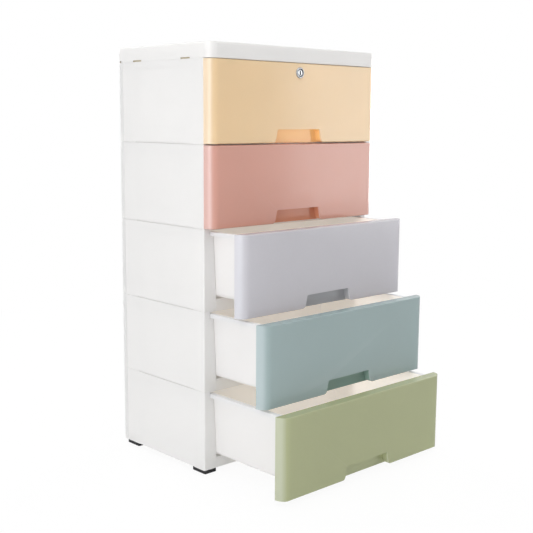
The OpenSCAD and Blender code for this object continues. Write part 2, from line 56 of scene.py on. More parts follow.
# %% [markdown]
# ## Moulded plastic
# Polypropylene mouldings look plain, but they are never one flat colour. The melt cools a little
# unevenly, so the tone drifts over a hand's width, the mould's fine spark-eroded grain breaks up
# the shine, and the corners that hands and boxes rub turn a shade paler. A wall of two
# millimetres also lets light through: a white wall that is lit from behind glows, so the inside
# of a closed tower is cream and not black. A translucent share beside the usual shader stands
# for that. In the depths a little light is still missing, and a faint even glow painted on the
# inner faces makes it up.
#
# One function builds all of this from noise and masks in Object coordinates, so that it stays
# put on each piece, and each colour of the tower is a call with its own numbers. Short helpers
# come first, because a node with its links takes many lines when it is written out in full.

# %% Short ways to add shader nodes
def add(tree, kind, **settings):
    """Adds a node. A setting that names an input fills it, and any other sets a property."""
    made = tree.nodes.new(kind)
    for key, value in settings.items():
        socket = made.inputs.get(key.replace("_", " "))
        if socket is not None:
            fill(tree, socket, value)
        else:
            setattr(made, key, value)
    return made


def fill(tree, socket, value):
    """Links the input socket to value if that is an output, and otherwise sets it to value."""
    if isinstance(value, bpy.types.NodeSocket):
        tree.links.new(value, socket)
    else:
        socket.default_value = value


def ramp(tree, source, low, high, to_low, to_high):
    """Maps source from low..high to to_low..to_high, and returns the result's socket."""
    made = add(tree, "ShaderNodeMapRange")
    for socket, value in zip(made.inputs, (source, low, high, to_low, to_high)):
        fill(tree, socket, value)
    return made.outputs[0]


def noise(tree, place, scale, detail=2.0):
    """A noise pattern with so many features to the metre."""
    return add(tree, "ShaderNodeTexNoise", Vector=place, Scale=scale, Detail=detail).outputs[0]


def reckon(tree, operation, *terms):
    """The result of a Math node. Each term is a socket or a plain number."""
    made = add(tree, "ShaderNodeMath", operation=operation)
    for socket, term in zip(made.inputs, terms):
        fill(tree, socket, term)
    return made.outputs[0]


def product(tree, first, *others):
    """The product of some sockets."""
    for other in others:
        first = reckon(tree, "MULTIPLY", first, other)
    return first


def size_of(tree, socket):
    """A number without its sign."""
    return reckon(tree, "ABSOLUTE", socket)


def parts_of(tree, vector):
    """The sockets of a vector's X, Y and Z."""
    return list(add(tree, "ShaderNodeSeparateXYZ", Vector=vector).outputs)


# %% Colours, relief and shaders from sockets
def blend(tree, share, first, colour):
    """The socket first, turned towards colour by share."""
    made = add(tree, "ShaderNodeMix", data_type="RGBA")
    for i, value in ((0, share), (6, first), (7, (*colour, 1))):
        fill(tree, made.inputs[i], value)
    return made.outputs[2]


def scaled(tree, colour, level):
    """colour, made lighter or darker by the socket level."""
    return add(tree, "ShaderNodeVectorMath", operation="SCALE", Vector=colour,
               Scale=level).outputs[0]


def mixed(tree, share, first, second):
    """Two shaders in one, with share of the second."""
    made = add(tree, "ShaderNodeMixShader")
    for socket, value in zip(made.inputs, (share, first.outputs[0], second.outputs[0])):
        fill(tree, socket, value)
    return made.outputs[0]


def raise_grain(tree, shader, height, strength, depth):
    """Gives shader a relief of so many metres from the socket height."""
    bump = add(tree, "ShaderNodeBump", Strength=strength, Distance=depth, Height=height)
    tree.links.new(bump.outputs[0], shader.inputs["Normal"])


def material(name):
    """A new material, its node tree and its usual shader."""
    made = bpy.data.materials.new(name)
    made.use_nodes = True
    return made, made.node_tree, made.node_tree.nodes["Principled BSDF"]


def surface(tree, socket):
    """Makes socket the material's surface in place of the usual shader alone."""
    tree.links.new(socket, tree.nodes["Material Output"].inputs["Surface"])


# %% The moulded finish
USUAL_NOISE = 0.3, 0.7  # nearly all of a noise pattern lies between these
DRIFT_SCALE, PATCH_SCALE, SPECKLE_SCALE, GRAIN_SCALE = 6.0, 35.0, 420.0, 1400.0
GRAIN_DEPTH = 0.1 * MM
GLOSS_SWING = 0.04
CORNER = 0.52, 0.62  # Pointiness where a corner starts, and where it is sharpest
SIDE_LIGHT_FACING = 0.5, 0.8  # how far a face looks sideways where the painted side light starts, and where it is full
# The pale tone of the painted side light.
SIDE_LIGHT_TONE = (0.85, 0.88, 0.93)
RUBBED_TONE = (1, 1, 1)


def moulded_plastic(name, colour, gloss=0.42, drift=0.02, grain=0.10, rub=0.03, shine=0.5,
                    through=0.0, glow=(1, 1, 1), lit=0.0, painted_side_light=0.0, pocket_shade=None):
    """A moulded plastic: gloss is its roughness, and drift, grain and rub are the strengths of
    its uneven tone, its mould grain and its paler corners. through is the share of light that
    goes into the wall, and glow its tint and that of the painted glow, whose strength is lit.
    painted_side_light is how much paler the faces that look sideways are painted. pocket_shade
    is a mask, the painted shade colour where it is 1 and the painted glow there."""
    made, tree, shader = material(name)
    shader.inputs["Specular IOR Level"].default_value = shine
    # The emission is a painted glow: lit sets its strength and glow its tint.
    shader.inputs["Emission Color"].default_value = (*glow, 1)
    shader.inputs["Emission Strength"].default_value = lit
    at = add(tree, "ShaderNodeTexCoord").outputs
    place = at["Object"]

    tone = ramp(tree, noise(tree, place, DRIFT_SCALE, 3.0), *USUAL_NOISE, 1 - drift, 1 + drift)
    speckle = ramp(tree, noise(tree, place, SPECKLE_SCALE), *USUAL_NOISE,
                   1 - drift / 2, 1 + drift / 2)
    body = scaled(tree, colour, product(tree, tone, speckle))
    # Painted side light: faces that look sideways turn towards a pale tone, standing in for the
    # stronger light from the left.
    if painted_side_light:
        sideways = size_of(tree, parts_of(tree, at["Normal"])[0])
        body = blend(tree, ramp(tree, sideways, *SIDE_LIGHT_FACING, 0, painted_side_light), body, SIDE_LIGHT_TONE)
    # Painted bounce light and shade in the hand pocket: a deeper colour and a faint emission.
    if pocket_shade:
        mask, deep, painted_pocket_glow = pocket_shade[0](tree, place), *pocket_shade[1:]
        body = blend(tree, mask, body, deep)
        shader.inputs["Emission Color"].default_value = (*deep, 1)
        tree.links.new(ramp(tree, mask, 0, 1, 0, painted_pocket_glow), shader.inputs["Emission Strength"])
    corner = add(tree, "ShaderNodeNewGeometry").outputs["Pointiness"]
    body = blend(tree, ramp(tree, corner, *CORNER, 0.0, rub), body, RUBBED_TONE)
    tree.links.new(body, shader.inputs["Base Color"])

    dull = ramp(tree, noise(tree, place, PATCH_SCALE), *USUAL_NOISE,
                gloss - GLOSS_SWING, gloss + GLOSS_SWING)
    tree.links.new(dull, shader.inputs["Roughness"])
    raise_grain(tree, shader, noise(tree, place, GRAIN_SCALE, 1.0), grain, GRAIN_DEPTH)
    if through:
        passed = add(tree, "ShaderNodeVectorMath", operation="MULTIPLY", Vector=body)
        passed.inputs[1].default_value = glow
        thin = add(tree, "ShaderNodeBsdfTranslucent", Color=passed.outputs[0])
        surface(tree, mixed(tree, through, shader, thin))
    return made


# %% [markdown]
# ## The tower's plastics
# The casing and the drawers' boxes are white. The coloured fronts are glossier, and the faces
# that look sideways take a paler tone, a painted side light for the strong light from the left.
# Their hand pockets are deep and see mostly their own colour, so they take a more saturated
# colour and a faint glow, painted bounce light and shade. The mask that finds a pocket goes by
# the place on the front, and it fades over a millimetre or two, so that no hard line shows.

# %% Find the hand pocket of a front
# In mm: how far behind the face it starts, how high it goes and how far to either side. The
# second number of each is where the fade ends.
BEHIND_FACE, POCKET_TOP, POCKET_SIDE = (1.5, 4), (27.5, 29), (68, 70)


def pocket_of(k):
    """The mask(tree, place) for the painted pocket shade of drawer k's front: 1 on the walls of
    its hand pocket.
    """
    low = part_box(f"drawer_front_{k}")[0]

    def mask(tree, place):
        x, y, z = parts_of(tree, place)
        return product(tree, ramp(tree, y, *(low.y + v * MM for v in BEHIND_FACE), 0, 1),
                       ramp(tree, z, *(low.z + v * MM for v in POCKET_TOP), 1, 0),
                       ramp(tree, size_of(tree, x), *(v * MM for v in POCKET_SIDE), 1, 0))
    return mask


# %% White, coloured and shaded plastic
WARM = (1, 0.975, 0.94)
WHITE = moulded_plastic("casing_white", (0.865, 0.865, 0.865), gloss=0.45, drift=0.008,
                        through=0.25, glow=WARM)
BOX_WHITE = moulded_plastic("box_white", (0.81, 0.82, 0.84), gloss=0.40, drift=0.008,
                            through=0.35, glow=(1, 0.985, 0.965))
# The tubs' inner faces: a warmer white and an even emission, painted bounce light.
BOX_INSIDE_PAINTED_GLOW = moulded_plastic("box_inside_painted_glow", (0.98, 0.965, 0.94), gloss=0.45, drift=0.008,
                            through=0.40, glow=(1, 0.955, 0.895), lit=0.20)
FRONT_COLOURS = {  # name, face, painted pocket shade and its painted glow
    1: ("peach_front", (0.90, 0.705, 0.435), (0.97, 0.69, 0.31), 0.08),
    2: ("rose_front", (0.76, 0.425, 0.345), (0.70, 0.32, 0.20), 0.05),
    3: ("grey_front", (0.68, 0.67, 0.71), (0.51, 0.53, 0.57), 0.0),
    4: ("teal_front", (0.425, 0.53, 0.535), (0.28, 0.42, 0.38), 0.0),
    5: ("sage_front", (0.50, 0.53, 0.315), (0.50, 0.53, 0.33), 0.05),
}
FRONTS = {k: moulded_plastic(name, face, gloss=0.16, through=0.25, painted_side_light=0.25,
                             pocket_shade=(pocket_of(k), *pocket))
          for k, (name, face, *pocket) in FRONT_COLOURS.items()}
# Painted shade for the walls of the cap's snap slots and the frames' outer sides seen through
# them.
PAINTED_SHADE = moulded_plastic("painted_slot_shade", (0.52, 0.45, 0.31), gloss=0.6)
PLASTICS = [WHITE, BOX_WHITE, BOX_INSIDE_PAINTED_GLOW, *FRONTS.values(), PAINTED_SHADE]
print("plastic finishes:", [made.name for made in PLASTICS])

# %% [markdown]
# ## Rubber and metal
# The feet are a soft black rubber with a coarse, dull grain. The lock is a die casting with
# chrome on the parts that show, and plain zinc-coated steel on the cam and the nut inside the
# drawer. Metal is all reflection, so its detail is in the roughness: faint wiping marks on the
# chrome, and fine lines drawn out along one axis on the steel. White surroundings would turn
# chrome into a white disc, so its tone is darker, a painted reflection of darker surroundings,
# and grease and painted shade darken the groove round the plug and the edges of the key slot.

# %% The finish of worked metal
MARK_SCALE, CLOUD_SCALE = 1800.0, 150.0
MARKS = 0.35, 0.65  # the part of the marks' noise that changes the roughness
GLOSS_SHARES = 0.7, 1.3
CLOUD_TONES = 0.94, 1.04
MARK_STRENGTH, MARK_DEPTH = 0.15, 0.02 * MM
# The near-black of grease and painted shade in the lock's hollows.
GREASE_AND_SHADE_TONE = (0.02, 0.02, 0.022)


def worked_metal(name, colour, gloss, stretch, grease_and_shade=None):
    """Metal whose marks are drawn out along X by stretch. grease_and_shade(tree, place) is 1
    where grease and painted shade darken the metal."""
    made, tree, shader = material(name)
    shader.inputs["Metallic"].default_value = 1.0
    place = add(tree, "ShaderNodeTexCoord").outputs["Object"]
    along = add(tree, "ShaderNodeMapping", Vector=place, Scale=(1 / stretch, 1, 1))
    marks = noise(tree, along.outputs[0], MARK_SCALE, 3.0)
    dull = ramp(tree, marks, *MARKS, *(gloss * share for share in GLOSS_SHARES))
    tree.links.new(dull, shader.inputs["Roughness"])
    cloud = ramp(tree, noise(tree, place, CLOUD_SCALE), *USUAL_NOISE, *CLOUD_TONES)
    shown = scaled(tree, colour, cloud)
    if grease_and_shade:
        shown = blend(tree, grease_and_shade(tree, place), shown, GREASE_AND_SHADE_TONE)
    tree.links.new(shown, shader.inputs["Base Color"])
    raise_grain(tree, shader, marks, MARK_STRENGTH, MARK_DEPTH)
    return made


# %% Finishes of the feet and the lock
KEY_SLOT_X, KEY_SLOT_Z = (1.9, 2.5), (4.2, 4.8)  # mm from its middle, and where the fade ends


def key_slot_grease_and_shade(tree, place):
    """1 in and close beside the key slot, fading over half a millimetre: grease and painted
    shade.
    """
    low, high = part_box("lock_plug")
    x, _, z = parts_of(tree, place)
    level = reckon(tree, "SUBTRACT", z, (low.z + high.z) / 2)
    return product(tree, ramp(tree, size_of(tree, x), *(v * MM for v in KEY_SLOT_X), 1, 0),
                   ramp(tree, size_of(tree, level), *(v * MM for v in KEY_SLOT_Z), 1, 0))


RUBBER = moulded_plastic("foot_rubber", (0.014, 0.014, 0.016), gloss=0.72, drift=0.15,
                         grain=0.35, rub=0.02, shine=0.2)
# The bezel's dark chrome tone and the plug's lighter one are painted reflection, standing in for
# the darker and brighter surroundings each reflects.
CHROME = worked_metal("lock_chrome", (0.32, 0.33, 0.34), gloss=0.09, stretch=2.0)
PLUG = worked_metal("lock_face", (0.42, 0.43, 0.44), gloss=0.18, stretch=2.0,
                    grease_and_shade=key_slot_grease_and_shade)
STEEL = worked_metal("lock_steel", (0.55, 0.55, 0.56), gloss=0.34, stretch=12.0)
# Near-black metal for the groove and the key slot's walls: grease and painted shade.
RECESS_GREASE_AND_SHADE = worked_metal("lock_grease_and_shade", (0.016, 0.016, 0.017), gloss=0.5, stretch=2.0)
print("rubber and metals:", [made.name for made in (RUBBER, CHROME, PLUG, STEEL, RECESS_GREASE_AND_SHADE)])

# %% [markdown]
# ## Soft edges
# No moulding has a knife edge: the tool's corners are rounded by half a millimetre or so, and
# that thin round is what catches the light along every rim. A CAD mesh arrives as loose
# triangles, so each copy is first merged and its flat faces are joined. Then its sharp edges are
# bevelled, and face-weighted normals keep the flat faces flat while the rounds shade softly. The
# bevel only cuts corners off, so a piece never grows beyond its CAD node.

# %% Copy a CAD node and soften its edges
SAME_POINT = 0.002 * MM
SAME_PLANE, SHARP, SMOOTH = (math.radians(angle) for angle in (0.5, 28, 50))
# The rounds are crispest where two mouldings meet in a line, and softest on the rubber.
CRISP_EDGE, METAL_EDGE, FRAME_EDGE, FACE_EDGE, WALL_EDGE, RUBBER_EDGE = (
    width * MM for width in (0.12, 0.2, 0.3, 0.35, 0.4, 0.6))


def soft_mesh(node, edge, reshape=None):
    """A merged copy of a CAD node's mesh, first changed by reshape, with its sharp edges rounded
    over edge metres."""
    made = bmesh.new()
    made.from_mesh(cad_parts[node].data)
    bmesh.ops.remove_doubles(made, verts=made.verts, dist=SAME_POINT)
    bmesh.ops.dissolve_limit(made, angle_limit=SAME_PLANE, verts=made.verts, edges=made.edges)
    if reshape:
        reshape(made)
    sharp = [e for e in made.edges if len(e.link_faces) == 2 and e.calc_face_angle() > SHARP]
    bmesh.ops.bevel(made, geom=sharp, offset=edge, offset_type="OFFSET", segments=2,
                    profile=0.5, affect="EDGES", clamp_overlap=True)
    return finished(made, node)


def finished(made, name):
    """The bmesh made as a mesh."""
    mesh = bpy.data.meshes.new(name)
    made.to_mesh(mesh)
    made.free()
    return mesh


# %% Show, shade and paint a piece
def piece(name, mesh, *finishes):
    """An object at the origin that shows mesh with the given finishes."""
    made = bpy.data.objects.new(name, mesh)
    bpy.context.scene.collection.objects.link(made)
    mesh.materials.clear()
    for finish in finishes:
        mesh.materials.append(finish)
    return made


def plain(obj):
    """Turns obj with its modifiers into a plain mesh."""
    graph = bpy.context.evaluated_depsgraph_get()
    mesh = bpy.data.meshes.new_from_object(obj.evaluated_get(graph), depsgraph=graph)
    obj.modifiers.clear()
    obj.data = mesh
    return obj


def shade(obj):
    """Smooth shading with normals weighted by face area."""
    obj.data.shade_smooth()
    obj.data.set_sharp_from_angle(angle=SMOOTH)
    weigh = obj.modifiers.new("weigh", "WEIGHTED_NORMAL")
    weigh.keep_sharp = True
    return plain(obj)


def paint(mesh, finish, chosen):
    """Gives finish to the faces for which chosen(face) holds, and returns how many they are."""
    mesh.materials.append(finish)
    faces = [face for face in mesh.polygons if chosen(face)]
    for face in faces:
        face.material_index = len(mesh.materials) - 1
    return len(faces)


def stand_in(obj, body, slot, *nodes):
    """obj rides on body in place of CAD nodes, which it hides. slot is not used."""
    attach(obj, body)
    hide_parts(*nodes)
    print(obj.name, "for", len(nodes), "nodes:", len(obj.data.polygons), "faces")
    return obj


# %% [markdown]
# ## The casing is one tier, five times
# The side panels, the back panels and the frames between the drawers repeat at one even pitch,
# which is how the real tower is sold in three, four or five tiers. So one softened copy of the
# lowest one is enough, and a small Geometry Nodes tree stacks it. Its inputs are the number of
# tiers and their pitch, and it ends in Realize Instances and Set Material, because the export
# keeps no instances. The frames' outer sides only ever show through the cap's snap slots, where
# a real one shows a dark line, so they take a painted brown shade.

# %% Begin and use a node tree
def begin_tree(name, result, **kinds):
    """A Geometry Nodes tree with an input of each kind and a finish. Returns it, its inputs, and
    the socket for the geometry that it makes real and gives the finish."""
    tree = bpy.data.node_groups.new(name, "GeometryNodeTree")
    for title, kind in (*kinds.items(), ("Finish", "Material")):
        tree.interface.new_socket(title, in_out="INPUT", socket_type="NodeSocket" + kind)
    tree.interface.new_socket(result, in_out="OUTPUT", socket_type="NodeSocketGeometry")
    given = tree.nodes.new("NodeGroupInput").outputs
    real = add(tree, "GeometryNodeRealizeInstances")
    last = add(tree, "GeometryNodeSetMaterial", Geometry=real.outputs[0],
               Material=given["Finish"])
    tree.links.new(last.outputs[0], tree.nodes.new("NodeGroupOutput").inputs[result])
    return tree, given, real.inputs[0]


def use_tree(obj, tree, **values):
    """Makes obj's mesh with tree. Each value goes to the input of its name, which a modifier
    knows by its identifier."""
    made = obj.modifiers.new(tree.name, "NODES")
    made.node_group = tree
    for item in tree.interface.items_tree:
        if item.item_type == "SOCKET" and item.in_out == "INPUT" and item.name in values:
            made[item.identifier] = values[item.name]
    return plain(obj)


# %% A node tree that stacks a tier
def stack_tree():
    """Stacks so many copies of a tier, one pitch apart."""
    tree, given, out = begin_tree("tier_stack", "Stack", Tier="Geometry", Tiers="Int",
                                  Pitch="Float")
    step = add(tree, "ShaderNodeCombineXYZ", Z=given["Pitch"])
    line = add(tree, "GeometryNodeMeshLine", Count=given["Tiers"], Offset=step.outputs[0])
    copies = add(tree, "GeometryNodeInstanceOnPoints", Points=line.outputs[0],
                 Instance=given["Tier"])
    tree.links.new(copies.outputs[0], out)
    return tree


STACK = stack_tree()
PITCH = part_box("divider_3")[0].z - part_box("divider_4")[0].z
print("tier pitch in mm:", round(PITCH / MM, 2))


# %% Stack the panels and the frames
def stacked(name, lowest, nodes, edge, shaded=None):
    """Stacks a softened copy of the lowest node once for each of nodes. Faces for which
    shaded(face) holds take the painted brown shade."""
    made = piece(name, soft_mesh(lowest, edge), WHITE)
    use_tree(made, STACK, Tiers=len(nodes), Pitch=PITCH, Finish=WHITE)
    if shaded:
        print(name, "shaded faces:", paint(made.data, PAINTED_SHADE, shaded))
    return stand_in(shade(made), "casing", "casing_plastic", *nodes)


FRAME_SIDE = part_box("top_frame")[1].x
SIDEWAYS, SIDE_DEPTH = 0.9, 1 * MM


def outer_side(face):
    """A face on the outer side of a frame between the tiers."""
    return (abs(face.normal.x) > SIDEWAYS
            and abs(face.center.x) > FRAME_SIDE - SIDE_DEPTH)


tiers = range(1, TIERS + 1)
for side in ("left", "right"):
    stacked(f"side_panels_{side}", f"side_{side}_{TIERS}",
            [f"side_{side}_{k}" for k in tiers], CRISP_EDGE)
stacked("back_panels", f"back_{TIERS}", [f"back_{k}" for k in tiers], WALL_EDGE)
# The frames' outer sides take the painted shade.
stacked("tier_frames", "divider_4", [f"divider_{k}" for k in tiers if k < TIERS] + ["top_frame"],
        FRAME_EDGE, outer_side)

# %% [markdown]
# ## The cap and the base
# The cap is one deep tray turned upside down, and its top edge has the largest round on the
# casing. Snap slots in its rim take the clips of the top panels, and their walls take a painted
# shade.
# The base frame closes the casing below. Both appear once, so a softened copy of the CAD node is
# all they need.

# %% Cap and base frame
def moulding(name, node, edge, body, slot, *finishes, reshape=None):
    """A softened copy of one CAD node, which rides on body in its place."""
    made = piece(name, soft_mesh(node, edge, reshape), *finishes)
    return stand_in(shade(made), body, slot, node)


RIM_BAND, RIM_DROP = 0.02 * MM, 0.22 * MM


def closed_down(made):
    """The cap's rim comes down onto the panels, as it does once it is pressed home."""
    rim = min(vert.co.z for vert in made.verts)
    for vert in made.verts:
        if vert.co.z < rim + RIM_BAND:
            vert.co.z -= RIM_DROP


cap_low, cap_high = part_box("top_cap")
SLOT_REACH = 2.4 * MM  # inwards from the cap's side
SLOT_HEIGHTS = 0.2 * MM, 2.7 * MM  # above the cap's rim


def slot_wall(face):
    """A wall of one of the cap's snap slots."""
    return (abs(face.center.x) > cap_high.x - SLOT_REACH and abs(face.normal.x) < 0.5
            and SLOT_HEIGHTS[0] < face.center.z - cap_low.z < SLOT_HEIGHTS[1])


cap = moulding("cap", "top_cap", CRISP_EDGE, "casing", "casing_plastic", WHITE,
               reshape=closed_down)
# The walls of the snap slots take the painted shade.
print("walls of the snap slots:", paint(cap.data, PAINTED_SHADE, slot_wall))
moulding("base", "base_frame", FRAME_EDGE, "casing", "casing_plastic", WHITE)

# %% [markdown]
# ## The drawers
# A drawer is a white tub with a turned-down rim, and a coloured front that clips onto it. The
# inside of the tubs looks cream, because the light there has been through a wall or two and
# from face to face many times, so the faces that look at the middle of the tub take a warmer
# white and a faint glow: painted bounce light. They are found by their direction: an inner face
# looks towards the tub's middle, and an outer one looks away from it. The rim's underside looks
# inwards too, so faces as far out as the rim are left out.

# %% Find the inside of a tub
RIM_REACH = Vector((13, 7, 0)) * MM


def inside_of(node):
    """A test for the faces that look at the middle of a tub, without those under its rim."""
    low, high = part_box(node)
    middle = (low + high) / 2
    room = (high - low) / 2 - RIM_REACH

    def looks_in(face):
        away = face.center - middle
        return face.normal.dot(away) < 0 and abs(away.x) < room.x and abs(away.y) < room.y
    return looks_in


# %% Boxes and fronts
FRONT_SLOTS = {1: "peach_plastic", 2: "rose_plastic", 3: "grey_plastic", 4: "teal_plastic",
               5: "sage_plastic"}
for k in tiers:
    tub = piece(f"tub_{k}", soft_mesh(f"drawer_box_{k}", WALL_EDGE), BOX_WHITE)
    # The tubs' inner faces take the painted bounce light and glow.
    inside = paint(tub.data, BOX_INSIDE_PAINTED_GLOW, inside_of(f"drawer_box_{k}"))
    stand_in(shade(tub), f"drawer_{k}", "box_plastic", f"drawer_box_{k}")
    moulding(f"front_{k}", f"drawer_front_{k}", FACE_EDGE, f"drawer_{k}", FRONT_SLOTS[k],
             FRONTS[k])
print("inner faces of the last tub:", inside)

# %% [markdown]
# ## The feet
# Each foot is a black plate with a small round pad under its middle, so that the tower stands on
# four soft pads and can't rock on a plate's edge. The plates are the CAD feet with their
# underside raised by the pad's height. The pad is turned: one closed outline of radius and
# height, spun round, with two grooves below that bend to an uneven floor. It repeats at the
# corners of a rectangle, so Geometry Nodes lay out the four from a grid's points.

# %% Plates of the feet
PAD_H, ON_FLOOR = 2.0 * MM, 0.01 * MM


def raised(made):
    """The underside of the plates goes up by the height of the pads."""
    for vert in made.verts:
        if vert.co.z < ON_FLOOR:
            vert.co.z = PAD_H


moulding("rubber_feet", "feet", RUBBER_EDGE, "casing", "foot_plastic", RUBBER, reshape=raised)

# %% A way to turn an outline round an axis
NO_AREA = 1e-12
X, Y, Z = Vector((1, 0, 0)), Vector((0, 1, 0)), Vector((0, 0, 1))


def turned(name, outline, centre, axis, out, steps=72):
    """A closed solid. outline is a closed loop of (radius, height) in mm: the height runs along
    axis from centre, and the radius starts along out."""
    made = bmesh.new()
    ring = [made.verts.new(centre + out * (r * MM) + axis * (h * MM)) for r, h in outline]
    loop = [made.edges.new((ring[i - 1], ring[i])) for i in range(len(ring))]
    bmesh.ops.spin(made, geom=ring + loop, cent=centre, axis=axis, angle=math.tau, steps=steps,
                   use_merge=True)
    bmesh.ops.remove_doubles(made, verts=made.verts, dist=SAME_POINT)
    flat = [f for f in made.faces if f.calc_area() < NO_AREA]
    bmesh.ops.delete(made, geom=flat, context="FACES")
    bmesh.ops.recalc_face_normals(made, faces=made.faces)
    return finished(made, name)


# %% Lay the pads out
# Radius and height in mm, from the middle of the underside over its grooves into the plate.
PAD = [(0.02, 0.3), (2.4, 0.3), (2.7, 0.0), (4.4, 0.0), (4.7, 0.7), (5.5, 0.7), (5.8, 0.0),
       (7.6, 0.0), (8.0, 0.4), (8.0, 2.6), (0.02, 2.6)]


def corner_tree():
    """Puts one piece at each corner of a rectangle."""
    tree, given, out = begin_tree("corner_layout", "Laid", Piece="Geometry", Width="Float",
                                  Depth="Float", Middle="Vector")
    grid = add(tree, "GeometryNodeMeshGrid", Vertices_X=2, Vertices_Y=2, Size_X=given["Width"],
               Size_Y=given["Depth"])
    place = add(tree, "GeometryNodeTransform", Geometry=grid.outputs["Mesh"],
                Translation=given["Middle"])
    copies = add(tree, "GeometryNodeInstanceOnPoints", Points=place.outputs[0],
                 Instance=given["Piece"])
    tree.links.new(copies.outputs[0], out)
    return tree


def foot_middle(sx, sy):
    """The middle of the foot in one quarter of the floor."""
    own = [v.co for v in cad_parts["feet"].data.vertices if v.co.x * sx > 0 < v.co.y * sy]
    return [(min(v[i] for v in own) + max(v[i] for v in own)) / 2 for i in range(2)]


near_left, far_right = foot_middle(-1, -1), foot_middle(1, 1)
pads = piece("foot_pads", turned("pad", PAD, Vector((0, 0, 0)), Z, X, steps=40), RUBBER)
use_tree(pads, corner_tree(), Width=far_right[0] - near_left[0],
         Depth=far_right[1] - near_left[1],
         Middle=((near_left[0] + far_right[0]) / 2, (near_left[1] + far_right[1]) / 2, 0.0),
         Finish=RUBBER)
stand_in(shade(pads), "casing", "foot_plastic")

# %% [markdown]
# ## The cam lock
# The lock is turned metal, so each part that shows is turned here as well: the bezel is a domed
# ring with a groove inside it that grease and painted shade darken, and the barrel behind it
# carries a fine thread. The thread follows one rule, a ridge that climbs one pitch a turn, so
# Geometry Nodes sweep a small triangle along a spiral. The plug keeps its CAD shape with its
# edges eased, and the walls of its key slot take the same near-black grease and painted shade,
# because light hardly gets into so deep a slot.

# %% Bezel and barrel
LOCK_FACE_Y = -0.1595  # the face of the top drawer's front, which the bezel lies on
AXIS_AT = Vector((0, LOCK_FACE_Y,
                  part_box("lock_plug")[0].z / 2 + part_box("lock_plug")[1].z / 2))
BARREL_R, BEZEL_R = 8.05, 11.0  # these and the outline's numbers are in mm
DOME_W, DOME_H, DOME_FOOT, DOME_STEPS = 2.1, 1.5, 0.5, 9
GROOVE_RADII = 6.0 * MM, 8.1 * MM
barrel_end = (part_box("lock_housing")[1].y - AXIS_AT.y) / MM
DOME = [(BEZEL_R - DOME_W * (1 - math.cos(a)), -DOME_FOOT - DOME_H * math.sin(a))
        for a in (math.radians(90 * i / DOME_STEPS) for i in range(DOME_STEPS + 1))]
# The dome, the groove inside it, the bore for the plug, and the barrel's chamfered end.
HOUSING = ([(BEZEL_R, 0.0)] + DOME + [(8.3, -1.95), (7.9, -1.7), (7.5, -1.0), (7.1, -0.75),
           (6.7, -0.8), (6.4, -1.3), (6.1, -1.5), (5.75, -1.4), (5.56, -1.1),
           (5.56, barrel_end), (BARREL_R - 0.4, barrel_end), (BARREL_R, barrel_end - 0.4),
           (BARREL_R, 0.0)])


def in_groove(face):
    """A face of the dark groove between the dome and the plug."""
    away = math.hypot(face.center.x - AXIS_AT.x, face.center.z - AXIS_AT.z)
    return GROOVE_RADII[0] < away < GROOVE_RADII[1] and face.center.y < AXIS_AT.y


bezel = piece("lock_body", turned("lock_body", HOUSING, AXIS_AT, Y, X), CHROME)
# The groove's faces take the near-black grease and painted shade.
print("faces of the groove:", paint(bezel.data, RECESS_GREASE_AND_SHADE, in_groove))
stand_in(shade(bezel), "drawer_1", "lock_chrome", "lock_housing")


# %% Thread on the barrel
def thread_tree():
    """Sweeps a triangle along a spiral that climbs along Y."""
    tree, given, out = begin_tree("barrel_thread", "Thread", Turns="Float", Radius="Float",
                                  Length="Float", Ridge="Float", Start="Vector")
    spiral = add(tree, "GeometryNodeCurveSpiral", Resolution=32, Rotations=given["Turns"],
                 Start_Radius=given["Radius"], End_Radius=given["Radius"],
                 Height=given["Length"])
    ridge = add(tree, "GeometryNodeCurvePrimitiveCircle", Resolution=3, Radius=given["Ridge"])
    sweep = add(tree, "GeometryNodeCurveToMesh", Curve=spiral.outputs[0],
                Profile_Curve=ridge.outputs[0], Fill_Caps=True)
    place = add(tree, "GeometryNodeTransform", Geometry=sweep.outputs[0],
                Translation=given["Start"], Rotation=(-math.pi / 2, 0, 0))
    tree.links.new(place.outputs[0], out)
    return tree


CREST, THREAD_PITCH, RIDGE = 8.5, 1.5, 0.6
THREAD_FROM, THREAD_LESS = 1.3, 2.5  # mm behind the face, and shorter than the barrel
thread_length = barrel_end - THREAD_LESS
thread = piece("lock_thread", bpy.data.meshes.new("lock_thread"), STEEL)
use_tree(thread, thread_tree(), Turns=thread_length / THREAD_PITCH, Radius=(CREST - RIDGE) * MM,
         Length=thread_length * MM, Ridge=RIDGE * MM,
         Start=(AXIS_AT.x, AXIS_AT.y + THREAD_FROM * MM, AXIS_AT.z), Finish=STEEL)
thread.data.validate()
stand_in(thread, "drawer_1", "lock_steel")
print("thread turns:", round(thread_length / THREAD_PITCH, 1))

# %% Plug, cam, nut and screw
KEY_HALF_W, KEY_HALF_H = 1.4 * MM, 4.1 * MM
KEY_DEPTHS = -0.99 * MM, 12 * MM


def in_key_slot(face):
    """A wall of the plug's key slot."""
    away = face.center - AXIS_AT
    return (abs(away.x) < KEY_HALF_W and abs(away.z) < KEY_HALF_H
            and KEY_DEPTHS[0] < away.y < KEY_DEPTHS[1])


core = piece("lock_core", soft_mesh("lock_plug", FACE_EDGE), PLUG)
# The key slot's walls take the near-black grease and painted shade.
print("faces of the key slot:", paint(core.data, RECESS_GREASE_AND_SHADE, in_key_slot))
stand_in(shade(core), "lock_plug", "lock_chrome", "lock_plug")
for name, node, body in (("lock_ring_nut", "lock_nut", "drawer_1"),
                         ("lock_arm", "lock_cam", "lock_plug"),
                         ("lock_arm_screw", "lock_cam_screw", "lock_plug")):
    moulding(name, node, METAL_EDGE, body, "lock_steel", STEEL)

